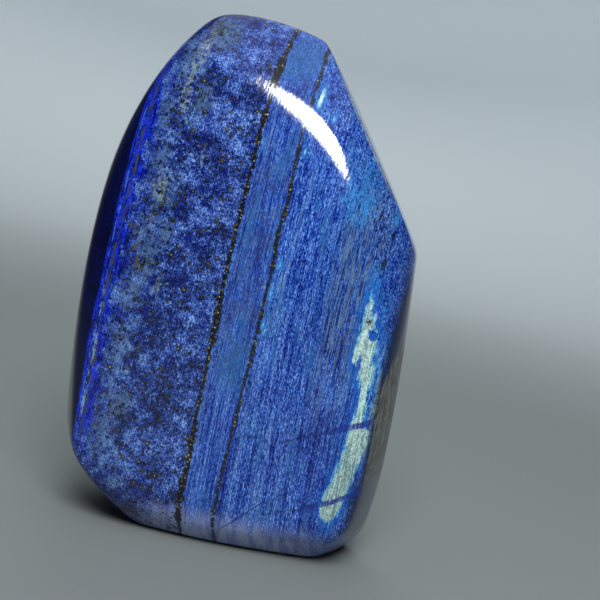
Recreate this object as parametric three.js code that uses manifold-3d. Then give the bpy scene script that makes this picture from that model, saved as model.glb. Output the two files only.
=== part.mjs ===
// A polished freeform of lapis lazuli, standing on a flat cut base.
// Millimetres, +Z up, the broad front face looks along -Y, the base lies on z = 0.
//
// The stone is ground from one lump by hand: broad, slightly domed flats that
// run into each other over soft edges. Each flat gives a "distance past" it,
// and the surface is where the distances, softly added, cancel out.

import * as THREE from "three";
import { mergeVertices } from "three/addons/utils/BufferGeometryUtils.js";
import Module from "manifold-3d";

// Driving dimensions of the finished stone.
const WIDTH = 76.5;
const DEPTH = 42.5;
const HEIGHT = 117;

// Fineness of the faceted skin: 20 * (DETAIL + 1) squared triangles.
const DETAIL = 18;

// How far the ground flats sink below z = 0 before the base is sawn off flat.
const SAW_ALLOWANCE = 1.5;

// How quickly a flat's dome turns into a plain slope, as a share of its radius.
const DOME_SHARE = 0.22;

// The base has no dome worth the name, and a narrow eased edge round it.
const BASE_DOME = 1e6;
const BASE_SOFT = 0.3;

// How often the reach to the skin is halved, and how close corners are merged.
const HALVINGS = 40;
const MERGE_WITHIN = 1e-4;

// A point well inside the stone, from which the skin is measured outwards.
// Places are fractions of the half width, the half depth and the height.
const HEART = [-0.07, 0.05, 0.49];

// Every ground flat: the place it touches, the way it faces in degrees
// (azimuth 0 is the front and 90 the right, elevation is upwards), the radius
// of its dome in mm, and the softness in mm of the edges around it.
const FLATS = [
  // The broad front, leaning back, with the bevels that meet it at the top.
  { name: "front", at: [-0.08, -0.86, 0.488], faces: [0, 8], dome: 300, soft: 1 },
  { name: "top bevel", at: [-0.18, -0.19, 0.943], faces: [8, 42], dome: 160, soft: 1 },
  { name: "middle bevel", at: [0.22, -0.33, 0.873], faces: [24, 38], dome: 160, soft: 1 },
  { name: "upper right bevel", at: [0.42, -0.41, 0.801], faces: [43, 28], dome: 160, soft: 1.2 },
  { name: "upper left bevel", at: [-0.6, -0.37, 0.902], faces: [-50, 30], dome: 80, soft: 1.8 },

  // Narrow flanks that turn the front into the sides.
  { name: "left flank", at: [-0.96, -0.52, 0.462], faces: [-74, 0], dome: 160, soft: 0.7 },
  { name: "right flank", at: [0.94, -0.61, 0.223], faces: [72, 0], dome: 160, soft: 1.1 },

  // The outline, clockwise from the top left.
  { name: "top left", at: [-0.35, 0.33, 1.012], faces: [-90, 81], dome: 300, soft: 0.9 },
  { name: "top right", at: [0, 0.33, 1.01], faces: [90, 76], dome: 200, soft: 0.9 },
  { name: "upper right side", at: [0.52, 0, 0.817], faces: [87, 36], dome: 900, soft: 0.25 },
  { name: "right side", at: [0.998, 0.09, 0.44], faces: [90, 3.3], dome: 2000, soft: 0.3 },
  { name: "foot right", at: [0.96, -0.14, 0.037], faces: [70, -40], dome: 60, soft: 0.7 },
  { name: "foot left", at: [-0.82, -0.14, 0.121], faces: [-88, -45], dome: 200, soft: 0.9 },
  { name: "left heel", at: [-0.99, 0.05, 0.17], faces: [-90, -10], dome: 150, soft: 0.5 },
  { name: "left side", at: [-0.955, 0.09, 0.47], faces: [-90, -1.5], dome: 1200, soft: 0.5 },
  { name: "left shoulder", at: [-0.865, 0.09, 0.805], faces: [-90, 16], dome: 150, soft: 0.9 },
  { name: "left brow", at: [-0.645, 0.09, 0.954], faces: [-90, 36], dome: 100, soft: 1 },

  // The back, and the bevels round the foot.
  { name: "back", at: [0, 0.97, 0.488], faces: [180, -3], dome: 300, soft: 1.4 },
  { name: "back left", at: [-0.9, 0.74, 0.514], faces: [-140, 6], dome: 160, soft: 0.9 },
  { name: "back right", at: [0.88, 0.78, 0.514], faces: [128, 1], dome: 160, soft: 0.9 },
  { name: "back top", at: [-0.15, 0.64, 0.938], faces: [182, 42], dome: 120, soft: 1.4 },
  { name: "back foot", at: [0, 0.89, 0.034], faces: [180, -45], dome: 150, soft: 1.2 },
  { name: "foot front", at: [0, -0.95, 0.033], faces: [0, -45], dome: 120, soft: 1 },
];

// A place given in fractions of the half width, the half depth and the height.
function place([across, deep, up]) {
  return new THREE.Vector3((across * WIDTH) / 2, (deep * DEPTH) / 2, up * HEIGHT);
}

// The direction that an azimuth and an elevation in degrees look along.
function direction([azimuth, elevation]) {
  const turn = THREE.MathUtils.degToRad(azimuth);
  const lift = THREE.MathUtils.degToRad(elevation);
  return new THREE.Vector3(
    Math.sin(turn) * Math.cos(lift),
    -Math.cos(turn) * Math.cos(lift),
    Math.sin(lift),
  );
}

// The ground flats in millimetres, with the base as one more.
const base = {
  name: "base",
  touches: new THREE.Vector3(0, 0, -SAW_ALLOWANCE),
  normal: new THREE.Vector3(0, 0, -1),
  dome: BASE_DOME,
  soft: BASE_SOFT,
};
const ground = FLATS.map((flat) => ({
  ...flat,
  touches: place(flat.at),
  normal: direction(flat.faces),
}));
ground.push(base);

// How far a point is past one flat. The dome rises as a hyperbola, so that it
// curves near the place it touches and never closes up far from it.
function distancePast(flat, point) {
  const offset = point.clone().sub(flat.touches);
  const outward = offset.dot(flat.normal);
  const sideways = Math.max(0, offset.lengthSq() - outward * outward);
  const turn = DOME_SHARE * flat.dome;
  return outward + DOME_SHARE * (Math.sqrt(sideways + turn * turn) - turn);
}

// Above zero outside the stone, below zero inside it.
function outside(point) {
  let sum = 0;
  for (const flat of ground) {
    sum += Math.exp(distancePast(flat, point) / flat.soft);
  }
  return Math.log(sum);
}

// The skin's point in a direction from the heart, found by halving.
function skinPoint(heart, ray) {
  let near = 0;
  let far = HEIGHT;
  for (let step = 0; step < HALVINGS; step += 1) {
    const reach = (near + far) / 2;
    if (outside(heart.clone().addScaledVector(ray, reach)) < 0) {
      near = reach;
    } else {
      far = reach;
    }
  }
  return heart.clone().addScaledVector(ray, near);
}

// The whole skin: an even ball of triangles, stretched to the stone's
// proportions and pushed out until every corner lies on the ground surface.
function groundSkin() {
  const skin = new THREE.IcosahedronGeometry(1, DETAIL);
  const corners = skin.attributes.position;
  const heart = place(HEART);
  const proportions = new THREE.Vector3(WIDTH, DEPTH, HEIGHT);
  for (let i = 0; i < corners.count; i += 1) {
    const ray = new THREE.Vector3().fromBufferAttribute(corners, i);
    ray.multiply(proportions).normalize();
    const point = skinPoint(heart, ray);
    corners.setXYZ(i, point.x, point.y, point.z);
  }
  skin.deleteAttribute("normal");
  skin.deleteAttribute("uv");
  return mergeVertices(skin, MERGE_WITHIN);
}

// The skin with its foot sawn off at z = 0, which leaves the flat it rests on.
async function sawFlat(skin) {
  const wasm = await Module();
  wasm.setup();
  const solid = new wasm.Manifold(
    new wasm.Mesh({
      numProp: 3,
      vertProperties: new Float32Array(skin.attributes.position.array),
      triVerts: new Uint32Array(skin.index.array),
    }),
  );
  const sawn = solid.trimByPlane([0, 0, 1], 0).getMesh();
  const geometry = new THREE.BufferGeometry();
  geometry.setAttribute("position", new THREE.BufferAttribute(sawn.vertProperties, 3));
  geometry.setIndex(new THREE.BufferAttribute(sawn.triVerts, 1));
  return geometry;
}

// The last grind to size: the box is made exactly WIDTH by DEPTH by HEIGHT,
// centred over the origin, with the base left on z = 0.
function fitToSize(geometry) {
  geometry.computeBoundingBox();
  const box = geometry.boundingBox;
  const size = box.getSize(new THREE.Vector3());
  const middle = box.getCenter(new THREE.Vector3());
  geometry.translate(-middle.x, -middle.y, 0);
  geometry.scale(WIDTH / size.x, DEPTH / size.y, HEIGHT / size.z);
  geometry.computeVertexNormals();
  return geometry;
}

const polishedLapis = new THREE.MeshStandardMaterial({
  name: "polished lapis lazuli",
  color: 0x2c4fa6,
  roughness: 0.15,
  metalness: 0,
});

const stone = new THREE.Mesh(fitToSize(await sawFlat(groundSkin())), polishedLapis);
stone.name = "stone";

const group = new THREE.Group();
group.add(stone);

export default group;
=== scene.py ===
import math
import bpy
import numpy as np
from mathutils import Matrix, Vector


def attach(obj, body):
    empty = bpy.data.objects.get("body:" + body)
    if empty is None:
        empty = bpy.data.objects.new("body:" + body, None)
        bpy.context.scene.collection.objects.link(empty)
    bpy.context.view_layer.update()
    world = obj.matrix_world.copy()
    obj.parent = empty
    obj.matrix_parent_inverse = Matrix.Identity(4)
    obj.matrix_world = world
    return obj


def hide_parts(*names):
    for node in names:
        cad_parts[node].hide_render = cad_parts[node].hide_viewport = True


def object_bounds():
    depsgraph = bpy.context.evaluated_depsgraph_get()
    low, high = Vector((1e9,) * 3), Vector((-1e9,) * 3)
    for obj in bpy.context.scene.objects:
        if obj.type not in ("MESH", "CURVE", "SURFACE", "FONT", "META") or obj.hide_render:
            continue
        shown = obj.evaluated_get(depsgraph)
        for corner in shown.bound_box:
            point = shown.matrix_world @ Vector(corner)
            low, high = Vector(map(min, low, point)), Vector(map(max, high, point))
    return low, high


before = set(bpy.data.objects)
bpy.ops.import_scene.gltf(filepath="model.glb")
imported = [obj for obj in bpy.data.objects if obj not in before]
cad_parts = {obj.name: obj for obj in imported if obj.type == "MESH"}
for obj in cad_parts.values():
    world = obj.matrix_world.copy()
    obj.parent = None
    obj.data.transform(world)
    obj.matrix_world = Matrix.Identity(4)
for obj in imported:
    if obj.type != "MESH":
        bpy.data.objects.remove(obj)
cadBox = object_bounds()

# A polished freeform of lapis lazuli, standing on its flat cut base.
# Lengths of the stone and its markings are in millimetres, and mm turns them into Blender's metres.
mm = 0.001


# Small helpers

def srgb(red, green, blue):
    # a colour as it is read off a screen, made linear for the shader
    linear = []
    for level in (red, green, blue):
        share = level / 255.0
        linear.append(share / 12.92 if share <= 0.04045 else ((share + 0.055) / 1.055) ** 2.4)
    return (*linear, 1.0)


def directions(azimuth, elevation):
    # unit vectors: azimuth 0 is the front, minus y, azimuth 90 the right, and elevation is upwards
    turn = np.radians(azimuth)
    lift = np.radians(elevation)
    return np.stack([np.sin(turn) * np.cos(lift), -np.cos(turn) * np.cos(lift), np.sin(lift)], axis=-1)


def gridMesh(name, points, closedRound, poleLow=None, poleHigh=None):
    # a mesh from a grid of points (rows, columns, 3), its rows joined into rings when closedRound,
    # and each end closed by a fan of triangles on a pole point where one is given
    rows, columns = points.shape[:2]
    index = np.arange(rows * columns).reshape(rows, columns)
    nextIndex = np.roll(index, -1, axis=1) if closedRound else index[:, 1:]
    thisIndex = index if closedRound else index[:, :-1]
    quads = np.stack([thisIndex[:-1], nextIndex[:-1], nextIndex[1:], thisIndex[1:]], axis=-1).reshape(-1, 4)
    vertices = [points.reshape(-1, 3)]
    faces = quads.tolist()
    if poleLow is not None:
        pole = rows * columns
        vertices.append(np.reshape(poleLow, (1, 3)))
        ring = index[0]
        faces += np.stack([np.full(columns, pole), np.roll(ring, -1), ring], axis=-1).tolist()
    if poleHigh is not None:
        pole = rows * columns + (poleLow is not None)
        vertices.append(np.reshape(poleHigh, (1, 3)))
        ring = index[-1]
        faces += np.stack([np.full(columns, pole), ring, np.roll(ring, -1)], axis=-1).tolist()
    mesh = bpy.data.meshes.new(name)
    mesh.from_pydata(np.concatenate(vertices).tolist(), [], faces)
    mesh.polygons.foreach_set("use_smooth", np.ones(len(mesh.polygons), dtype=bool))
    mesh.update()
    return mesh


def addObject(name, mesh):
    piece = bpy.data.objects.new(name, mesh)
    bpy.context.scene.collection.objects.link(piece)
    return piece


# Shader maths: a wire is an output socket, and sums and products of wires add Math nodes

class Wire:
    def __init__(self, tree, socket=None):
        self.tree = tree
        self.socket = socket

    def add(self, kind, settings=None, inputs=None, output=0):
        node = self.tree.nodes.new(kind)
        for name, value in (settings or {}).items():
            if name == "stops":
                ramp = node.color_ramp
                while len(ramp.elements) < len(value):
                    ramp.elements.new(0.5)
                for element, (position, colour) in zip(ramp.elements, value):
                    element.position = position
                    element.color = colour
            elif name == "curve":
                points = node.mapping.curves[0].points
                while len(points) < len(value):
                    points.new(0.5, 0.5)
                for point, place in zip(points, value):
                    point.location = place
                node.mapping.update()
            else:
                setattr(node, name, value)
        for name, value in (inputs or {}).items():
            if isinstance(name, int):
                socket = node.inputs[name]
            else:
                socket = next(s for s in node.inputs if name in (s.identifier, s.name))
            if isinstance(value, Wire):
                self.tree.links.new(value.socket, socket)
            else:
                socket.default_value = value
        return Wire(self.tree, node.outputs[output] if node.outputs else None)

    def maths(self, operation, first, second=None, clamp=False):
        inputs = {0: first}
        if second is not None:
            inputs[1] = second
        return self.add("ShaderNodeMath", {"operation": operation, "use_clamp": clamp}, inputs)

    def __add__(self, other):
        return self.maths("ADD", self, other)

    def __radd__(self, other):
        return self.maths("ADD", other, self)

    def __sub__(self, other):
        return self.maths("SUBTRACT", self, other)

    def __rsub__(self, other):
        return self.maths("SUBTRACT", other, self)

    def __mul__(self, other):
        return self.maths("MULTIPLY", self, other)

    def __rmul__(self, other):
        return self.maths("MULTIPLY", other, self)

    def __truediv__(self, other):
        return self.maths("DIVIDE", self, other)

    def __abs__(self):
        return self.maths("ABSOLUTE", self)

    def atLeast(self, other):
        return self.maths("MAXIMUM", self, other)

    def atMost(self, other):
        return self.maths("MINIMUM", self, other)

    def sine(self):
        return self.maths("SINE", self)

    def rise(self, start, end):
        # 0 before start and 1 after end, smoothly between, and falling when end is below start
        return self.add("ShaderNodeMapRange", {"interpolation_type": "SMOOTHSTEP"},
                        {"Value": self, "From Min": start, "From Max": end})

    def near(self, centre, reach, soft):
        # 1 within reach of centre, fading to 0 over soft beyond it
        return abs(self - centre).rise(reach + soft, reach)

    def vector(self, x, y, z):
        return self.add("ShaderNodeCombineXYZ", None, {"X": x, "Y": y, "Z": z})

    def noise(self, scale, detail=3.0, roughness=0.55, distortion=0.0):
        # fractal noise of this vector, about 0.5 on average
        return self.add("ShaderNodeTexNoise", {"noise_dimensions": "3D"},
                        {"Vector": self, "Scale": scale, "Detail": detail,
                         "Roughness": roughness, "Distortion": distortion})

    def blend(self, factor, first, second, kind="MIX"):
        return self.add("ShaderNodeMix", {"data_type": "RGBA", "blend_type": kind},
                        {"Factor_Float": factor, "A_Color": first, "B_Color": second}, output=2)


# The stone's shape

stoneShape = {
    "columns": 384,            # points round each ring
    "rows": 236,               # rings from the base's pole to the top's
    "domeShare": 0.22,         # how soon a dome turns into a plain slope, as a share of its radius
    "heart": (-0.07, 0.05, 0.49),
    "waviness": 0.05,          # mm, of the hand polish
    "baseSoft": 0.3,           # mm, the eased edge round the base
    # ground flats: place (shares of half width, half depth, height), azimuth, elevation, dome mm, softness mm
    "flats": [
        (-0.08, -0.86, 0.488, 0, 8, 300, 1.0),       # front
        (-0.18, -0.19, 0.943, 8, 42, 160, 1.0),      # top bevel
        (0.22, -0.33, 0.873, 24, 38, 160, 1.0),      # middle bevel
        (0.42, -0.41, 0.801, 43, 28, 160, 1.2),      # upper right bevel
        (-0.60, -0.37, 0.902, -50, 30, 80, 1.8),     # upper left bevel
        (-0.96, -0.52, 0.462, -74, 0, 160, 0.7),     # left flank
        (0.94, -0.61, 0.223, 72, 0, 160, 1.1),       # right flank
        (-0.35, 0.33, 1.012, -90, 81, 300, 0.9),     # top left
        (0.00, 0.33, 1.010, 90, 76, 200, 0.9),       # top right
        (0.52, 0.00, 0.817, 87, 36, 900, 0.25),      # upper right side
        (0.998, 0.09, 0.440, 90, 3.3, 2000, 0.3),    # right side
        (0.96, -0.14, 0.037, 70, -40, 60, 0.7),      # foot right
        (-0.82, -0.14, 0.121, -88, -45, 200, 0.9),   # foot left
        (-0.99, 0.05, 0.170, -90, -10, 150, 0.5),    # left heel
        (-0.955, 0.09, 0.470, -90, -1.5, 1200, 0.5), # left side
        (-0.865, 0.09, 0.805, -90, 16, 150, 0.9),    # left shoulder
        (-0.645, 0.09, 0.954, -90, 36, 100, 1.0),    # left brow
        (0.00, 0.97, 0.488, 180, -3, 300, 1.4),      # back
        (-0.90, 0.74, 0.514, -140, 6, 160, 0.9),     # back left
        (0.88, 0.78, 0.514, 128, 1, 160, 0.9),       # back right
        (-0.15, 0.64, 0.938, 182, 42, 120, 1.4),     # back top
        (0.00, 0.89, 0.034, 180, -45, 150, 1.2),     # back foot
        (0.00, -0.95, 0.033, 0, -45, 120, 1.0),      # foot front
    ],
}


def stoneMesh(shape):
    # each direction from the heart is followed to where the distances past all the flats,
    # softly added as exponentials, cancel out; a flat's distance is its plane's plus a hyperbolic dome
    low, high = np.array(cadBox[0]) / mm, np.array(cadBox[1]) / mm
    size = high - low
    halves = np.array([size[0] / 2, size[1] / 2, size[2]])
    flats = np.array(shape["flats"])
    places = np.vstack([flats[:, :3] * halves, [[0, 0, 0]]])
    normals = np.vstack([directions(flats[:, 3], flats[:, 4]), [[0, 0, -1]]])
    turns = np.append(flats[:, 5], 1e6) * shape["domeShare"]
    softness = np.append(flats[:, 6], shape["baseSoft"])
    heart = np.array(shape["heart"]) * halves

    def outside(points):
        offset = points[:, None, :] - places
        outward = np.einsum("pfk,fk->pf", offset, normals)
        sideways = np.maximum(np.einsum("pfk,pfk->pf", offset, offset) - outward ** 2, 0)
        dome = shape["domeShare"] * (np.sqrt(sideways + turns ** 2) - turns)
        return np.exp(np.minimum((outward + dome) / softness, 50)).sum(axis=1)

    turn = np.linspace(0, 360, shape["columns"], endpoint=False)
    lift = np.linspace(-90, 90, shape["rows"] + 2)
    turnGrid, liftGrid = np.meshgrid(turn, lift)
    rays = (directions(turnGrid, liftGrid) * size).reshape(-1, 3)
    rays /= np.linalg.norm(rays, axis=1, keepdims=True)
    near = np.zeros(len(rays))
    far = np.full(len(rays), size[2])
    for _ in range(30):
        reach = (near + far) / 2
        inside = outside(heart + rays * reach[:, None]) < 1
        near = np.where(inside, reach, near)
        far = np.where(inside, far, reach)
    points = heart + rays * near[:, None]
    # the polish follows the hand: three slow waves, less than a tenth of a millimetre high
    x, y, z = points.T
    waves = (np.sin(x / 5.1 + z / 9.3 + 0.7) + np.sin(z / 6.7 - y / 4.9 + 2.1)
             + np.sin((x - z) / 7.9 + y / 6.1 + 4.0)) / 3
    points += rays * (waves * shape["waviness"] * np.clip(z / 6, 0, 1))[:, None]
    # last, the skin is brought to the box that the frame gives
    drawnLow, drawnHigh = points.min(axis=0), points.max(axis=0)
    points = low + (points - drawnLow) * size / (drawnHigh - drawnLow)
    grid = points.reshape(shape["rows"] + 2, shape["columns"], 3) * mm
    return gridMesh("stoneSkin", grid[1:-1], True, grid[0, 0], grid[-1, 0])


# The camera, which looks at the stone as the photograph does

cameraView = {
    "elevation": 8.0,          # degrees above the horizon
    "distance": 300.0,         # mm from the stone's middle
    "lean": 12.5,              # degrees that the stone leans clockwise in the picture
    "millimetresAcross": 139.2,  # what the picture takes in at the stone's middle
    "aimMm": (-3.9, 1.1, 57.65),
    "aimPixel": (240.0, 279.0),  # where that point falls in the 600 x 600 picture
}


def addCamera(view):
    back = directions(0.0, view["elevation"])
    right = np.array([1.0, 0.0, 0.0])
    up = np.cross(back, right)
    lean = math.radians(view["lean"])
    cameraRight = right * math.cos(lean) + up * math.sin(lean)
    cameraUp = -right * math.sin(lean) + up * math.cos(lean)
    perPixel = view["millimetresAcross"] / 600
    aside = (view["aimPixel"][0] - 300) * perPixel
    above = (300 - view["aimPixel"][1]) * perPixel
    centre = np.array(view["aimMm"]) - cameraRight * aside - cameraUp * above
    eye = (centre + back * view["distance"]) * mm
    camera = bpy.data.cameras.new("photoCamera")
    camera.sensor_width = 36.0
    camera.lens = camera.sensor_width * view["distance"] / view["millimetresAcross"]
    camera.clip_start = 0.01
    holder = addObject("photoCamera", camera)
    turned = Matrix((cameraRight, cameraUp, back)).transposed().to_4x4()
    holder.matrix_world = Matrix.Translation(Vector(eye)) @ turned
    bpy.context.scene.camera = holder


# Lights

studioLights = {
    "target": (3.0, -8.0, 70.0),  # mm
    # a long softbox that only shows as the reflection on the upper edge, and two wide ones that only light
    "softboxes": {
        "edgeSoftbox": {"azimuth": 22.2, "elevation": 43.2, "distance": 620, "width": 366, "height": 206, "roll": -3,
                        "watts": 10.8, "colour": (1.0, 0.99, 0.97), "onlyReflects": True},
        "frontSoftbox": {"azimuth": 2, "elevation": 48, "distance": 700, "width": 420, "height": 420, "roll": 0,
                         "watts": 5.4, "colour": (1.0, 0.99, 0.97), "onlyReflects": False},
        "backSoftbox": {"azimuth": 185, "elevation": 38, "distance": 700, "width": 500, "height": 500, "roll": 0,
                        "watts": 1.6, "colour": (1.0, 0.99, 0.97), "onlyReflects": False},
    },
    "worldColour": (0.86, 0.93, 1.0),
    "worldStrength": 0.85,
}


def addLights(lights):
    target = Vector(lights["target"]) * mm
    for name, box in lights["softboxes"].items():
        away = Vector(directions(box["azimuth"], box["elevation"]).tolist())
        lamp = bpy.data.lights.new(name, "AREA")
        lamp.shape = "ELLIPSE"
        lamp.size = box["width"] * mm
        lamp.size_y = box["height"] * mm
        lamp.energy = box["watts"]
        lamp.color = box["colour"]
        holder = addObject(name, lamp)
        holder.visible_diffuse = not box["onlyReflects"]
        holder.visible_glossy = box["onlyReflects"]
        facing = away.to_track_quat("Z", "Y").to_matrix().to_4x4()
        roll = Matrix.Rotation(math.radians(box["roll"]), 4, "Z")
        holder.matrix_world = Matrix.Translation(target + away * box["distance"] * mm) @ facing @ roll
    world = bpy.data.worlds.new("studioAir")
    world.use_nodes = True
    air = world.node_tree.nodes["Background"]
    air.inputs["Color"].default_value = (*lights["worldColour"], 1.0)
    air.inputs["Strength"].default_value = lights["worldStrength"]
    bpy.context.scene.world = world


# The stage: a pale round bowl of paper, so that no horizon shows from any side

stageSize = {
    "floorRadius": 500.0,      # mm, flat
    "sweepRadius": 450.0,      # mm, where the floor turns up
    "wallHeight": 700.0,       # mm above the sweep
    # the floor is painted darker and the walls near white: painted shade low down and painted light up high, so the
    # backdrop is lighter towards the top
    "floor": (115, 122, 122),
    "wall": (232, 242, 248),
    "dimWall": (122, 130, 136),  # behind the camera
    "darkWall": (52, 58, 64),    # to the sides, which the flanks mirror
    "brightens": (0.18, 1.12),   # m from the middle, where the floor's colour starts to turn into the wall's
}


def addStage(stage):
    # a profile of distance from the middle against height, turned round the upright axis
    sweep = np.radians(np.linspace(0, 90, 24))
    flat = np.linspace(30, stage["floorRadius"], 12)
    bend = stage["floorRadius"] + stage["sweepRadius"] * np.sin(sweep)
    bendHeight = stage["sweepRadius"] * (1 - np.cos(sweep))
    radius = np.concatenate([flat, bend[1:], [bend[-1]]])
    height = np.concatenate([flat * 0, bendHeight[1:], [bendHeight[-1] + stage["wallHeight"]]])
    turn = np.radians(np.linspace(0, 360, 96, endpoint=False))
    grid = np.stack([radius[:, None] * np.cos(turn), radius[:, None] * np.sin(turn),
                     height[:, None] + 0 * turn], axis=-1) * mm
    mesh = gridMesh("paperBowl", grid, True, poleLow=(0, 0, 0))
    bowl = addObject("paperBowl", mesh)
    paper = bpy.data.materials.new("palePaper")
    paper.use_nodes = True
    shader = paper.node_tree.nodes["Principled BSDF"]
    start = Wire(paper.node_tree)
    place = start.add("ShaderNodeTexCoord", None, None, output=3)
    x = start.add("ShaderNodeSeparateXYZ", None, {"Vector": place})
    y = Wire(start.tree, x.socket.node.outputs[1])
    away = start.add("ShaderNodeVectorMath", {"operation": "LENGTH"}, {0: place}, output=1)
    wall = start.blend(y.rise(0.15, -0.45), srgb(*stage["wall"]), srgb(*stage["dimWall"]))
    aside = abs(x) - y.atLeast(0.0) * 0.2
    wall = start.blend(aside.rise(0.15, 0.28), wall, srgb(*stage["darkWall"]))
    colour = start.blend(away.rise(*stage["brightens"]), srgb(*stage["floor"]), wall)
    start.tree.links.new(colour.socket, shader.inputs["Base Color"])
    shader.inputs["Roughness"].default_value = 0.9
    shader.inputs["Specular IOR Level"].default_value = 0.2
    mesh.materials.append(paper)


# The lapis: one dictionary for each kind of marking, beside the function that lays it down.
# Places on the front are (layer, height) in mm; a layer is one of the parallel sheets of the rock.

layering = {
    "tilt": 0.22,              # how far the layers run aside per mm of depth
    "lean": 0.042,             # and per mm of height
    "fibreStretch": 0.12,      # height counts this much beside width, so fibres are long and thin
    "columnStretch": 0.03,
    "pinStretch": 0.045,
    "depthStretch": 0.3,       # and depth this much, so that they stay long on the bevels
    "ragged": (5.0, 0.0, 7.0),  # mm, how far the edges of single markings wander
    "from": (1.1, 0.0, -0.25),  # mm, added to a place on the stone before its marking is looked up
}


def layOutRock(start):
    # the wires that every marking is laid out with: layer, depth and height in mm, and the noises
    place = start.add("ShaderNodeTexCoord", None, None, output=3)
    placeMm = start.add("ShaderNodeVectorMath", {"operation": "MULTIPLY_ADD"},
                        {0: place, 1: (1 / mm,) * 3, 2: layering["from"]})
    x = start.add("ShaderNodeSeparateXYZ", None, {"Vector": placeMm})
    y = Wire(start.tree, x.socket.node.outputs[1])
    z = Wire(start.tree, x.socket.node.outputs[2])
    layer = x - y * layering["tilt"] + z * layering["lean"]
    inLayers = start.vector(layer, y, z)
    deep = y * layering["depthStretch"]
    fibres = start.vector(layer, deep, z * layering["fibreStretch"])
    columns = start.vector(layer, deep, z * layering["columnStretch"])
    pins = start.vector(layer, deep, z * layering["pinStretch"])
    wander = inLayers.add("ShaderNodeTexNoise", {"noise_dimensions": "3D"},
                          {"Vector": inLayers, "Scale": 0.42, "Detail": 3.0, "Roughness": 0.6}, output=1)
    reach = layering["ragged"]
    shake = start.add("ShaderNodeVectorMath", {"operation": "MULTIPLY_ADD"},
                      {0: wander, 1: reach, 2: tuple(-r / 2 for r in reach)})
    flat = start.vector(layer, 0.0, z)
    return {
        "start": start, "x": x, "y": y, "z": z, "layer": layer, "inLayers": inLayers, "flat": flat,
        "roughFlat": start.add("ShaderNodeVectorMath", {"operation": "ADD"}, {0: flat, 1: shake}),
        "broad": inLayers.noise(0.075, 3.0, 0.6),
        "patches": inLayers.noise(0.30, 4.0, 0.62),
        "clumps": inLayers.noise(0.85, 3.0, 0.6),
        "grain": start.vector(layer, y, z * 0.65).noise(1.9, 4.0, 0.75),
        "dust": start.vector(layer, y, z * 0.6).noise(4.8, 1.0, 0.7),
        "flecks": start.vector(layer, deep, z * 0.28).noise(5.6, 1.0, 0.7),
        "lines": start.vector(layer, deep, z * 0.02).noise(4.0, 1.0, 0.6),
        "long": start.vector(layer, deep, z * 0.012).noise(2.4, 2.0, 0.7),
        "front": y.rise(2, -6),
        "sparkle": start.vector(layer, y, z * 0.4).noise(3.0, 3.0, 0.8),
        "pins": pins.noise(3.4, 2.0, 0.7),
        "fibre": fibres.noise(2.0, 3.0, 0.7),
        "column": columns.noise(0.45, 3.0, 0.6),
        "hairs": columns.noise(2.0, 2.0, 0.6),
        "wisp": fibres.noise(0.5, 3.0, 0.6),
        "ridges": fibres.noise(1.9, 1.0, 0.5),
        "roughness": 0.07, "relief": 0.0,
    }


def spot(rock, at, radius, soft, where="roughFlat", stretch=1.0, uneven=0.0):
    # 1 within the radius of a place on the front, fading to 0 over soft beyond it;
    # stretch makes it that many times taller than wide, and uneven frays its edge
    here = rock[where]
    if stretch != 1.0:
        here = here.add("ShaderNodeVectorMath", {"operation": "MULTIPLY"}, {0: here, 1: (1.0, 1.0, 1.0 / stretch)})
    away = here.add("ShaderNodeVectorMath", {"operation": "DISTANCE"},
                    {0: here, 1: (at[0], 0.0, at[1] / stretch)}, output=1)
    if uneven:
        away = away + (rock["grain"] - 0.5) * uneven
    return away.rise(radius + soft, radius)


def paint(rock, mask, shade):
    # lays a colour over the stone where the mask is 1
    rock["colour"] = rock["colour"].blend(mask, rock["colour"], shade)


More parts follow.
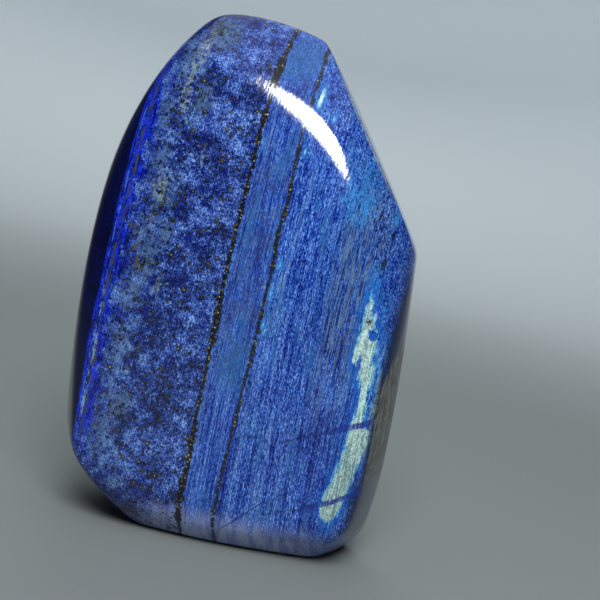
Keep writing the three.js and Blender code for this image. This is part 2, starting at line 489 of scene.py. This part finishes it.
blueBody = {
    # tone, from a dark grain to a light fleck, and the blue at it
    "mottledBlues": [(0.12, (13, 21, 64)), (0.33, (24, 40, 103)), (0.47, (35, 57, 132)), (0.60, (54, 84, 168)),
                     (0.78, (84, 120, 206)), (1.0, (140, 178, 236))],
    "fibrousBlues": [(0.10, (3, 11, 86)), (0.30, (17, 43, 134)), (0.44, (36, 72, 166)), (0.56, (56, 99, 197)),
                     (0.74, (92, 141, 228)), (0.96, (150, 195, 245))],
    "deepBlue": (14, 24, 128),
    "stripGrey": (62, 72, 92),  # dulls the strip between the veins
    "middleTone": 0.47,
    # how strongly each noise tells, left of the first vein and right of it
    "mottledNoise": {"broad": 0.6, "patches": 1.1, "clumps": 0.9, "grain": 1.0, "sparkle": 0.9, "dust": 1.8},
    "fibrousNoise": {"broad": 0.3, "column": 0.5, "fibre": 0.5, "sparkle": 1.0, "pins": 0.7, "flecks": 1.5, "long": 1.1},
    "betweenVeins": 0.6,       # the share of the fibres' strength there
    # cloudy places: layer, height, radius in mm, and how much lighter or darker
    "clouds": [(-3.0, 93, 3.0, 0.24), (-2.4, 72, 3.4, 0.19), (-11.0, 37, 3.0, 0.12), (-12.0, 78, 2.6, 0.08),
               (-4.3, 44, 2.4, 0.08), (-8.5, 86, 3.6, -0.14), (-12.5, 89, 3.0, -0.12), (-3.0, 56, 3.0, -0.10),
               (-9.0, 31, 5.0, -0.08), (-12.0, 73, 2.4, -0.12), (-10.0, 100, 4.0, -0.05), (6.0, 92, 4.0, 0.05),
               (15.0, 96, 6.0, 0.05), (26.0, 26, 9.0, -0.06), (13.5, 58, 4.0, 0.09), (29.0, 80, 5.0, 0.08),
               (19.0, 87, 6.0, 0.07), (6.0, 36, 4.0, 0.07), (14.6, 45, 5.0, 0.05), (-1.2, 89, 2.6, 0.12),
               (-1.0, 64, 2.2, 0.12), (-6.0, 72, 2.2, 0.10), (-9.8, 47, 3.5, -0.12), (-5.2, 53, 2.6, -0.08),
               (-3.7, 26, 1.8, 0.12), (-11.0, 19, 1.8, 0.12), (-5.7, 18, 1.6, 0.10), (-9.5, 12, 1.6, 0.10),
               (-13.5, 25, 2.5, -0.08), (-18.5, 67, 3.5, 0.10), (-5.9, 82.5, 2.2, -0.12),
               # the last three, high up on the top bevels, are painted shade that darkens them
               (-4.6, 62.5, 2.2, -0.10), (-12.0, 114, 7.0, -0.12), (5.5, 111, 5.0, -0.10),
               (16.0, 106, 6.0, -0.05)],
}


def layBlueBody(rock, look):
    # mottled to the left of the first vein, smooth between the veins, fibrous to the right
    start, z = rock["start"], rock["z"]
    rock["fromVeinOne"] = rock["layer"] - (0.75 + 0.011 * z)
    rock["fromVeinTwo"] = rock["layer"] - (8.3 + 2.5 * z.rise(4, 58) - 0.9 * z.rise(100, 116))
    mottled = rock["fromVeinOne"].rise(0.4, -0.4)
    fibrous = look["betweenVeins"] + (1 - look["betweenVeins"]) * rock["fromVeinTwo"].rise(-0.5, 1.5)
    rock["mottled"] = mottled
    clouds = look["middleTone"]
    for layerAt, heightAt, radius, lighter in look["clouds"]:
        clouds = clouds + spot(rock, (layerAt, heightAt), radius * 0.3, radius) * lighter
    sides = []
    for strengths, blues in (("mottledNoise", "mottledBlues"), ("fibrousNoise", "fibrousBlues")):
        tone = clouds
        for noise, strength in look[strengths].items():
            strength = strength * fibrous if noise in ("fibre", "pins", "flecks") else strength
            tone = tone + (rock[noise] - 0.5) * strength
        stops = [(at, srgb(*shade)) for at, shade in look[blues]]
        sides.append(start.add("ShaderNodeValToRGB", {"stops": stops}, {0: tone}))
    rock["colour"] = sides[1].blend(mottled, sides[1], sides[0])
    strip = rock["fromVeinOne"].rise(0.6, 1.6) * rock["fromVeinTwo"].rise(-0.4, -1.2)
    strip = strip * z.rise(30, 44) * (1 - 0.5 * z.rise(80, 92)) * rock["patches"].rise(0.32, 0.60)
    paint(rock, strip * 0.42, srgb(*look["stripGrey"]))
    deep = (rock["wisp"] * 0.5 + rock["patches"] * 0.5).rise(0.47, 0.40) * mottled
    paint(rock, deep * rock["grain"].rise(0.62, 0.50) * 0.6, srgb(*look["deepBlue"]))


dullDrifts = {
    "teal": (50, 112, 170),
    "grey": (92, 112, 140),
    "navyHairs": (12, 22, 84),
    "greyGreen": (82, 112, 138),
    "fibreGreen": (108, 136, 150),
    "oliveDust": (84, 84, 56),
    # painted reflection: a pale lilac sheen along the foot
    "footReflection": (160, 170, 208),
    # painted shade: the lower left of the front, darker towards the base
    "heelShade": (40, 48, 84),
    "pale": (140, 158, 160),
    # grey-green patches next to the left margin, and pale streaks in them: layer, height, radius, taller
    "dusty": [(-16.4, 75, 2.4, 1.3), (-18.2, 81, 1.6, 1.8), (-18.2, 66.5, 1.6, 1.6), (-16.4, 60, 1.8, 1.8),
              (-18.8, 52.0, 2.0, 1.6), (-18.6, 39.5, 1.8, 2.2), (-19.2, 21, 2.4, 1.6), (-16.0, 27, 2.0, 1.4),
              (-13.5, 66, 1.4, 1.6), (-17.0, 103, 2.6, 1.5), (-11.5, 111, 2.6, 1.0), (-20.0, 92, 1.6, 2.0),
              (-12.0, 96, 1.6, 1.6)],
    "paleStreaks": [(-14.7, 112, 0.4, 2.0), (-14.9, 106.6, 0.5, 2.4), (-15.9, 102.9, 0.45, 2.6), (-16.0, 98.4, 0.4, 3.0),
                    (-16.3, 93.4, 0.32, 3.0), (-16.9, 75.5, 0.6, 2.0), (-13.2, 55, 0.25, 3.0), (-9.2, 84, 0.22, 4.0)],
}


def layDullDrifts(rock, look):
    # teal and grey drifts along the fibres on the right, grey-green dust and pale streaks on the left, a painted
    # reflection along the foot and painted shade at the lower left
    layer, z, fibre = rock["layer"], rock["z"], rock["fibre"]
    smooth = 1 - rock["mottled"]
    teal = rock["wisp"].rise(0.52, 0.68) * smooth * 0.45
    flecked = rock["sparkle"].rise(0.38, 0.62)
    teal = teal.atLeast(spot(rock, (6.0, 109), 2.5, 4.5) * smooth * (0.25 + 0.35 * flecked))
    teal = teal.atLeast(spot(rock, (13.0, 55), 1.0, 3.0, "flat", 3.0) * fibre.rise(0.44, 0.58) * 0.6)
    teal = teal.atLeast(spot(rock, (7.5, 41), 0.2, 4.6, "roughFlat", 2.2) * (0.15 + 0.6 * flecked))
    zone = layer.near(26.5, 2.5, 4.0) * z.rise(50, 64) * z.rise(108, 92)
    teal = teal.atLeast(zone * fibre.rise(0.42, 0.6) * (0.15 + 0.5 * flecked))
    paint(rock, teal, srgb(*look["teal"]))
    grey = (rock["column"] * 0.6 + fibre * 0.4).rise(0.53, 0.62) * smooth
    greyZone = layer.near(28.5, 2.5, 3.5) * z.rise(28, 42) * z.rise(82, 70) * rock["hairs"].rise(0.48, 0.58)
    paint(rock, (grey * 0.2).atLeast(greyZone * 0.6), srgb(*look["grey"]))
    streaky = layer.near(29.0, 3.0, 3.5) * z.rise(40, 52) * z.rise(92, 78) * smooth
    paint(rock, streaky * rock["lines"].rise(0.54, 0.62) * 0.6, srgb(*look["fibreGreen"]))
    paint(rock, streaky * rock["lines"].rise(0.46, 0.38) * 0.7, srgb(*look["navyHairs"]))
    lines = rock["pins"].rise(0.58, 0.64).atLeast(rock["long"].rise(0.60, 0.65) * 0.8)
    lines = lines * rock["column"].rise(0.38, 0.52) * smooth
    paint(rock, lines * (0.4 + 0.45 * layer.rise(14, 24)), srgb(*look["navyHairs"]))
    dusty = 0.0
    for layerAt, heightAt, radius, taller in look["dusty"]:
        dusty = spot(rock, (layerAt, heightAt), radius * 0.4, radius * 1.5, "roughFlat", taller).atLeast(dusty)
    thin = layer.near(-17.5, 2.5, 4.0) * 0.55 * rock["patches"].rise(0.48, 0.60)
    dusty = dusty.atLeast(thin) * rock["clumps"].rise(0.36, 0.52) * rock["mottled"]
    paint(rock, dusty * (0.45 + 0.35 * rock["sparkle"].rise(0.58, 0.42)), srgb(*look["greyGreen"]))
    paint(rock, dusty * rock["grain"].rise(0.56, 0.64) * 0.7, srgb(*look["oliveDust"]))
    # painted reflection: a pale lilac sheen along the foot of the front
    foot = z.rise(10, 3.5) * layer.near(12, 14, 12) * rock["front"]
    paint(rock, foot * (0.40 + 0.45 * rock["wisp"].rise(0.38, 0.62)), srgb(*look["footReflection"]))
    for layerAt, heightAt, half, taller in look["paleStreaks"]:
        streak = spot(rock, (layerAt, heightAt), half, half * 2.5, "roughFlat", taller) * rock["front"]
        broken = rock["grain"].rise(0.38, 0.58) * rock["clumps"].rise(0.34, 0.52)
        paint(rock, streak * broken * 0.75, srgb(*look["pale"]))
    # painted shade: the lower left of the front darkened towards the base
    lowLeftShade = z.rise(17, 7) * layer.rise(-7, -14) * rock["front"]
    paint(rock, lowLeftShade * 0.5, srgb(*look["heelShade"]))


leftMargin = {
    "flankAt": -25.5,          # the layer where the painted shade of the flank ends and the vivid band begins
    "bandReach": 4.0,          # mm, how far the band runs in from there
    "ultramarine": (14, 42, 212),
    "deepUltramarine": (6, 11, 76),
    "bright": (66, 118, 226),
    "paleGreen": (136, 172, 182),
    "olive": (62, 70, 56),
    # painted shade: the flank darkened to near-black navy, turning to the rock's deep blue towards the back
    "shadedNavy": (5, 7, 32),
    "flankBlue": (18, 30, 118),
}


def layLeftMargin(rock, look):
    # painted shade that darkens the flank to navy over its deep blue, then a vivid band with pale and olive threads in
    # it
    start, z, grain, patches = (rock[name] for name in ("start", "z", "grain", "patches"))
    inward = rock["layer"] - look["flankAt"] + (rock["wisp"] - 0.5) * 1.6
    ragged = (rock["clumps"] - 0.5) * 22 + (patches - 0.5) * 18 + (grain - 0.5) * 10
    notBack = (rock["y"] + ragged).rise(8.5, 4.5)
    tall = z.rise(12, 24) * z.rise(112, 96) * notBack
    edge = inward + (patches - 0.5) * 6.0 + (grain - 0.5) * 5.0
    band = edge.rise(look["bandReach"], look["bandReach"] - 1.2) * tall
    lively = rock["fibre"] * 0.6 + grain * 0.4
    vivid = start.blend(lively.rise(0.44, 0.56), srgb(*look["deepUltramarine"]), srgb(*look["ultramarine"]))
    paint(rock, band * 0.88, vivid)
    blots = edge.rise(8.5, 5.0) * tall * rock["clumps"].rise(0.52, 0.60)
    paint(rock, blots * 0.65, vivid)
    threads = (inward - 0.8 + (grain - 0.5) * 1.8).near(0.0, 0.10, 0.18) * tall
    threads = threads * patches.rise(0.47, 0.58) * rock["fibre"].rise(0.42, 0.56)
    paint(rock, threads * 0.8, srgb(*look["bright"]))
    olive = (inward - 1.8 + (grain - 0.5) * 2.6).near(0.0, 0.20, 0.30) * tall * patches.rise(0.58, 0.46)
    paint(rock, olive * 0.8, srgb(*look["olive"]))
    pale = (inward - 1.35 + (grain - 0.5) * 2.6).near(0.0, 0.14, 0.22) * z.rise(20, 26) * z.rise(56, 49)
    pale = pale * rock["fibre"].rise(0.47, 0.57)
    paint(rock, pale * 0.9, srgb(*look["paleGreen"]))
    # painted shade: the flank beyond the band darkened to navy, bluer towards the back
    shadedFlank = inward.rise(0.15, -0.25) * notBack
    sideways = rock["y"].rise(-11, 1) * lively.rise(0.40, 0.62)
    paint(rock, shadedFlank * 0.94, start.blend(sideways, srgb(*look["shadedNavy"]), srgb(*look["flankBlue"])))


calcitePatch = {
    # height, then the layer at the left edge and at the right edge of the pale patch
    "outline": [(10.5, 33.2, 33.2), (13, 31.2, 34.6), (16, 31.2, 35.5), (23, 33.0, 37.0), (28, 33.6, 38.0),
                (32, 34.0, 38.6), (35, 34.5, 36.8), (41, 34.7, 36.5), (46, 33.0, 36.6), (49, 31.7, 36.0),
                (52, 31.9, 36.2), (55, 32.3, 35.7), (56.5, 32.3, 34.6), (59, 32.2, 33.8), (61, 32.6, 33.3),
                (62.5, 32.9, 32.9)],
    "heights": (8.0, 66.0),
    "layers": (28.0, 42.0),
    "eye": (34.9, 53.9),       # a round blue eye in it, and a dark grain above that
    "eyeRadius": 0.85,
    "darkGrain": (33.7, 56.6),
    "prong": (34.6, 57.7),     # a short pale prong beside the tip
    "fork": (33.2, 46.6),      # the blue notch between the left fork and the stem
    "pale": (208, 242, 234),
    "dust": (84, 117, 125),
    "flecks": (46, 66, 68),
    "rim": (90, 180, 222),
    "halo": (22, 96, 196),
    "greyStrand": (150, 172, 156),
    "paleCyan": (116, 184, 204),
    "grain": (28, 32, 30),
}


def layCalcite(rock, look):
    start, layer, z, grain, fibre = (rock[name] for name in ("start", "layer", "z", "grain", "fibre"))
    low, high = look["heights"]
    first, last = look["layers"]
    share = (z - low) / (high - low)

    def edge(column):
        curve = [((row[0] - low) / (high - low), (row[column] - first) / (last - first))
                 for row in look["outline"]]
        curve = [(0.0, curve[0][1])] + curve + [(1.0, curve[-1][1])]
        along = start.add("ShaderNodeFloatCurve", {"curve": curve}, {"Value": share})
        return along * (last - first) + first

    ripple = (fibre - 0.5) * 2.4 + (grain - 0.5) * 2.2
    inward = (layer - edge(1)).atMost(edge(2) - layer).atMost((z - 11) * 0.6).atMost((62.5 - z) * 0.4) + ripple
    front = rock["front"]
    eye = spot(rock, look["eye"], look["eyeRadius"], 0.5, "flat", 1.2, 2.8)
    halo = inward.rise(-2.4, -0.3) * front
    paint(rock, halo * (0.15 + 0.75 * (fibre * 0.5 + grain * 0.5).rise(0.40, 0.60)), srgb(*look["halo"]))
    mixed = (layer - 37.3 + (fibre - 0.5) * 1.6).near(0.0, 0.9, 0.8) * z.rise(34, 38) * z.rise(55, 49) * front
    mixed = mixed * (fibre * 0.5 + rock["sparkle"] * 0.5).rise(0.46, 0.58)
    paint(rock, mixed * 0.75, srgb(*look["paleCyan"]))
    strand = (layer - 38.4 + (fibre - 0.5) * 1.6 + (grain - 0.5) * 1.6).near(0.0, 0.30, 0.35)
    strand = strand * z.rise(24, 30) * z.rise(48, 42) * front
    paint(rock, strand * (0.25 + 0.65 * rock["sparkle"].rise(0.42, 0.56)), srgb(*look["greyStrand"]))
    notch = spot(rock, look["fork"], 0.35, 0.35, "flat", 4.0, 1.5)
    hole = eye.atLeast(notch)
    rim = inward.rise(-0.35, 0.15) * front * (1 - hole)
    paint(rock, rim * 0.8, srgb(*look["rim"]))
    body = inward.rise(-0.02, 0.42) * front * (1 - hole)
    dust = grain.rise(0.56, 0.40) * 0.45 + rock["pins"].rise(0.56, 0.42) * 0.5 + z.rise(34, 22) * 0.22
    chalk = start.blend(dust.atMost(0.9).atLeast(0.0), srgb(*look["pale"]), srgb(*look["dust"]))
    chalk = start.blend(rock["dust"].rise(0.54, 0.64) * 0.65, chalk, srgb(*look["flecks"]))
    paint(rock, body * 0.96, chalk)
    prong = spot(rock, look["prong"], 0.22, 0.35, "flat", 3.0, 1.2) * front
    paint(rock, prong * grain.rise(0.35, 0.55) * 0.6, srgb(*look["pale"]))
    paint(rock, spot(rock, look["darkGrain"], 0.3, 0.4, "flat", 1.4, 1.6) * front * 0.95, srgb(*look["grain"]))
    rock["roughness"] = rock["roughness"] + body * 0.07


rightMatrix = {
    "at": 38.85,               # the layer where the grey-brown matrix starts
    "light": (112, 116, 108),
    "dark": (46, 46, 44),
    "shadedNavy": (10, 26, 60),      # painted shade on the flank above and below it
}


def layMatrix(rock, look):
    layer, z, fibre = rock["layer"], rock["z"], rock["fibre"]
    ragged = (rock["patches"] - 0.5) * 26 + (rock["grain"] - 0.5) * 8
    edge = layer - look["at"] + (rock["wisp"] - 0.5) * 2.0 - z.rise(42, 51) * 0.8 - z.rise(36, 24) * 0.4
    matrix = edge.rise(-0.25, 0.25) * (z + ragged).rise(15, 24) * (z + ragged * 0.5).rise(55, 50)
    matrix = matrix * (rock["y"] + ragged * 0.7).rise(9, 4)
    # painted shade: the right flank above and below the matrix darkened to navy
    shadedFlank = (layer + (fibre - 0.5) * 1.2).rise(37.7, 38.9) * (z + ragged).rise(74, 62)
    shadedFlank = shadedFlank.atLeast(layer.rise(35.2, 38.4) * z.rise(28, 17)) * (rock["y"] + ragged).rise(12, 4)
    paint(rock, shadedFlank * (0.75 + 0.2 * rock["clumps"].rise(0.40, 0.55)), srgb(*look["shadedNavy"]))
    grey = rock["start"].blend(fibre.rise(0.36, 0.62), srgb(*look["dark"]), srgb(*look["light"]))
    paint(rock, matrix * 0.92, grey)
    rock["roughness"] = rock["roughness"] + matrix * 0.18


glints = {
    "cyan": (58, 150, 226),
    "bright": (140, 214, 240),
    "pale": (200, 230, 232),
    # small bright fibres: layer, height, half width, how many times taller
    "fibres": [(12.2, 89.6, 0.22, 3.0), (16.4, 98.0, 0.22, 3.0), (12.3, 64.7, 0.26, 2.6),
               (11.6, 58.3, 0.20, 3.0), (11.4, 51.5, 0.16, 4.0), (12.0, 50.0, 0.14, 4.0)],
    # wider cyan glows without a core, and dark grains
    "glows": [(32.6, 65.0, 0.6, 3.0), (36.2, 59.6, 0.35, 3.0), (33.8, 79.6, 0.30, 3.5), (23.4, 83.6, 0.5, 3.0),
              (25.0, 81.0, 0.6, 3.0), (27.6, 80.0, 0.5, 4.0), (26.0, 88.0, 0.3, 5.0)],
    "darkGrains": [(33.7, 69.1, 0.30, 3.0), (33.7, 66.6, 0.18, 1.6), (33.8, 75.5, 0.16, 4.0), (30.6, 79.1, 0.16, 5.0)],
    "dark": (24, 28, 44),
    "longFleck": (12.5, 101.8),
    # a painted reflection as a thin pale rim along the upper right edge, whose plane is this far from the origin
    "reflectionRimPlane": (0.808, -0.042, 0.588),
    "reflectionRimFrom": 71.0,
    "rim": (150, 166, 172),
}


def layGlints(rock, look):
    # bright flecks beside the second vein, one long pale one on the upper bevel, and a painted reflection along the
    # upper right edge
    for layerAt, heightAt, half, taller in look["fibres"]:
        glow = spot(rock, (layerAt, heightAt), half, half * 2.6, "flat", taller) * rock["front"]
        paint(rock, glow * 0.45, srgb(*look["cyan"]))
        fleck = spot(rock, (layerAt, heightAt), half * 0.5, half * 0.7, "flat", taller) * rock["front"]
        paint(rock, fleck * rock["grain"].rise(0.34, 0.54) * 0.8, srgb(*look["bright"]))
    threads = (rock["fibre"] * 0.5 + rock["sparkle"] * 0.5).rise(0.40, 0.56)
    for layerAt, heightAt, half, taller in look["glows"]:
        glow = spot(rock, (layerAt, heightAt), half, half * 2.6, "roughFlat", taller)
        paint(rock, glow * threads * 0.6, srgb(*look["cyan"]))
    for layerAt, heightAt, half, taller in look["darkGrains"]:
        grain = spot(rock, (layerAt, heightAt), half, half, "flat", taller, half * 3) * rock["front"]
        paint(rock, grain * 0.85, srgb(*look["dark"]))
    glow = spot(rock, look["longFleck"], 0.4, 1.2, "flat", 2.8)
    broken = (rock["fibre"] * 0.5 + rock["grain"] * 0.5).rise(0.36, 0.54) * rock["y"].rise(8, 3)
    paint(rock, glow * broken * 0.7, srgb(*look["cyan"]))
    paint(rock, spot(rock, look["longFleck"], 0.22, 0.40, "flat", 4.5, 0.9) * broken, srgb(*look["pale"]))
    # painted reflection: a thin pale rim along the upper right edge, broken up by the fibres
    across, along, upward = look["reflectionRimPlane"]
    outward = rock["x"] * across + rock["y"] * along + rock["z"] * upward
    rim = outward.rise(look["reflectionRimFrom"], look["reflectionRimFrom"] + 0.4) * rock["y"].rise(1.5, -0.5) * rock["z"].rise(82, 88)
    paint(rock, rim * (0.15 + 0.65 * threads), srgb(*look["rim"]))


healedCracks = {
    "deepBlue": (24, 44, 140),
    "line": (14, 22, 74),
}


def layHealedCracks(rock, look):
    # two old cracks across the layers, healed with blue, and an open hairline near the base
    layer, z = rock["layer"], rock["z"]
    front = rock["front"]
    sway = (rock["patches"] - 0.5) * 2.2 + (rock["grain"] - 0.5) * 1.6
    upper = abs(z - (27.8 + 0.464 * (layer - 22.1)) + sway)
    beyond = layer - 17.9
    lower = abs(z - (10.1 + 0.30 * beyond + 0.0065 * beyond * beyond) + sway)
    wide = layer.rise(24, 34)
    healed = (upper - wide * 0.55).rise(0.42, 0.05).atLeast((lower - wide * 0.36).rise(0.40, 0.05))
    healed = healed * layer.rise(17, 23) * layer.rise(39.0, 38.0) * front
    paint(rock, healed * wide * (0.70 + 0.25 * rock["fibre"].rise(0.60, 0.45)), srgb(*look["deepBlue"]))
    paint(rock, healed * (1 - wide) * 0.7, srgb(*look["line"]))
    hair = abs(z - (5.0 + 0.97 * (layer - 10.4)) + sway * 0.4).rise(0.30, 0.05)
    hair = hair * layer.rise(9.6, 10.6) * layer.rise(19.5, 17.5) * front
    paint(rock, hair * 0.8, srgb(*look["line"]))


pyrite = {
    "gold": (142, 134, 66),
    "brightGold": (202, 198, 116),
    "oliveGold": (86, 82, 44),
    "black": (14, 14, 14),
    "halo": (16, 19, 30),
    "oliveHalo": (46, 48, 34),
    "softVein": (26, 30, 40),
    "navyLine": (16, 22, 70),
    "olivePatches": [(-20.0, 64.0, 0.45), (-19.7, 61.2, 0.40), (-18.4, 58.0, 0.50), (-21.2, 66.0, 0.35), (-17.6, 69.0, 0.35)],
}


def goldGrains(rock, scale, limit):
    # round grains, one to each cell of a cell pattern, kept where the cell's random number is over
    # the limit: how far away the grain's middle is in mm, whether it is kept, another random number
    cells = rock["inLayers"].add("ShaderNodeTexVoronoi", {"feature": "F1", "voronoi_dimensions": "3D"},
                                 {"Vector": rock["inLayers"], "Scale": scale, "Randomness": 1.0})
    chance = Wire(cells.tree, cells.socket.node.outputs[1])
    red = chance.add("ShaderNodeSeparateColor", None, {"Color": chance})
    green = Wire(cells.tree, red.socket.node.outputs[1])
    return cells / scale, (red - limit).rise(0.0, 0.02), green


def layVeins(rock, look):
    # two black-brown veins full of pyrite grains, and specks scattered over the mottled field
    start, layer, z, grain, patches = (rock[name] for name in ("start", "layer", "z", "grain", "patches"))
    crumble = (grain - 0.5) * 2.2 + (rock["clumps"] - 0.5) * 1.4
    sway = (rock["wisp"] - 0.5) * 1.6
    thick = 0.40 + patches.rise(0.46, 0.64) * 0.32 + z.near(105, 2.5, 3.0) * 0.5
    thick = thick + z.near(24.5, 1.0, 2.0) * 0.25 + z.near(11.5, 2.0, 3.0) * 0.22
    one = (abs(rock["fromVeinOne"] + sway) + crumble - thick).rise(0.14, -0.10)
    two = abs(rock["fromVeinTwo"] + sway) + crumble * 0.6 - 0.28 - patches.rise(0.44, 0.62) * 0.2
    two = (two + z.rise(50, 30) * 0.06).rise(0.24, -0.14)
    beside = (rock["fromVeinOne"] + sway * 0.7 - 1.55).near(0.0, 0.10, 0.16) * patches.rise(0.52, 0.44)
    paint(rock, beside * z.rise(98, 88) * 0.7, srgb(*look["navyLine"]))
    field = rock["mottled"] * layer.rise(-23, -19)
    crowd = (patches * 0.6 + rock["broad"] * 0.4 - 0.5) * 2.5 + z.rise(94, 106) * 0.2
    away, kept, fate = goldGrains(rock, 0.72, 0.60 + crowd)
    size = 0.26 + fate * 0.25
    nearby, keptSmall, otherFate = goldGrains(rock, 1.5, 0.74 + crowd * 0.5)
    uneven = (grain - 0.5) * 1.2
    halo = (away - size + uneven).rise(0.32, -0.05) * kept
    halo = halo.atLeast((nearby - 0.24 + uneven).rise(0.20, 0.0) * keptSmall * 0.85)
    rusty = start.blend(otherFate.rise(0.55, 0.7), srgb(*look["halo"]), srgb(*look["oliveHalo"]))
    for layerAt, heightAt, radius in look["olivePatches"]:
        patch = spot(rock, (layerAt, heightAt), radius, 0.4, "roughFlat", 1.3, 1.6)
        paint(rock, patch * 0.75, srgb(*look["oliveGold"]))
    paint(rock, halo * field * 0.9, rusty)
    veinBlack = start.blend(one, srgb(*look["softVein"]), srgb(*look["black"]))
    vein = one.atLeast(two)
    paint(rock, vein * 0.96, veinBlack)
    inVein, keptInVein, veinFate = goldGrains(rock, 2.1, 0.60)
    ochre = (inVein - 0.18).rise(0.10, -0.05) * keptInVein * vein
    paint(rock, ochre * 0.9, srgb(*look["oliveGold"]))
    bright = (inVein - 0.14).rise(0.08, -0.04) * (veinFate - 0.62).rise(0.0, 0.05) * keptInVein * vein
    speck = ((away - size * 0.36 + uneven * 0.6).rise(0.06, -0.06) * kept * field * 0.8)
    speck = speck.atLeast((nearby - 0.08 + uneven * 0.3).rise(0.05, -0.04) * keptSmall * field * otherFate.rise(0.5, 0.7))
    gold = bright.atLeast(speck)
    shine = start.blend(fate.rise(0.80, 0.95).atLeast(bright), srgb(*look["gold"]), srgb(*look["brightGold"]))
    paint(rock, gold * 0.9, shine)
    rock["metal"] = gold * 0.3
    rock["roughness"] = rock["roughness"] + vein * 0.05 + gold * 0.12


polish = {
    "depth": 0.035,            # mm, of the faint ridges that the fibres leave in the polish
    "ior": 1.5,
    "specular": 0.45,
}


def lapisMaterial():
    material = bpy.data.materials.new("polishedLapis")
    material.use_nodes = True
    tree = material.node_tree
    tree.nodes.clear()
    start = Wire(tree)
    rock = layOutRock(start)
    layBlueBody(rock, blueBody)
    layDullDrifts(rock, dullDrifts)
    layGlints(rock, glints)
    layCalcite(rock, calcitePatch)
    layMatrix(rock, rightMatrix)
    layHealedCracks(rock, healedCracks)
    layLeftMargin(rock, leftMargin)
    layVeins(rock, pyrite)
    relief = rock["relief"] + rock["ridges"] * 0.8 + rock["sparkle"] * 0.25
    bump = start.add("ShaderNodeBump", None, {"Strength": 1.0, "Distance": polish["depth"] * mm, "Height": relief})
    shader = start.add("ShaderNodeBsdfPrincipled", None,
                       {"Base Color": rock["colour"], "Roughness": rock["roughness"], "Metallic": rock["metal"],
                        "Normal": bump, "IOR": polish["ior"], "Specular IOR Level": polish["specular"]})
    start.add("ShaderNodeOutputMaterial", None, {"Surface": shader})
    print("lapis material has", len(tree.nodes), "nodes")
    return material


bpy.context.scene.view_settings.view_transform = "Standard"
addCamera(cameraView)
addLights(studioLights)
addStage(stageSize)
print("camera, lights and stage are set")

stone = addObject("stoneSkin", stoneMesh(stoneShape))
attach(stone, "root")
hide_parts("stone")
print("stone skin made,", len(stone.data.polygons), "faces")

stone.data.materials.append(lapisMaterial())
print("lapis finished")
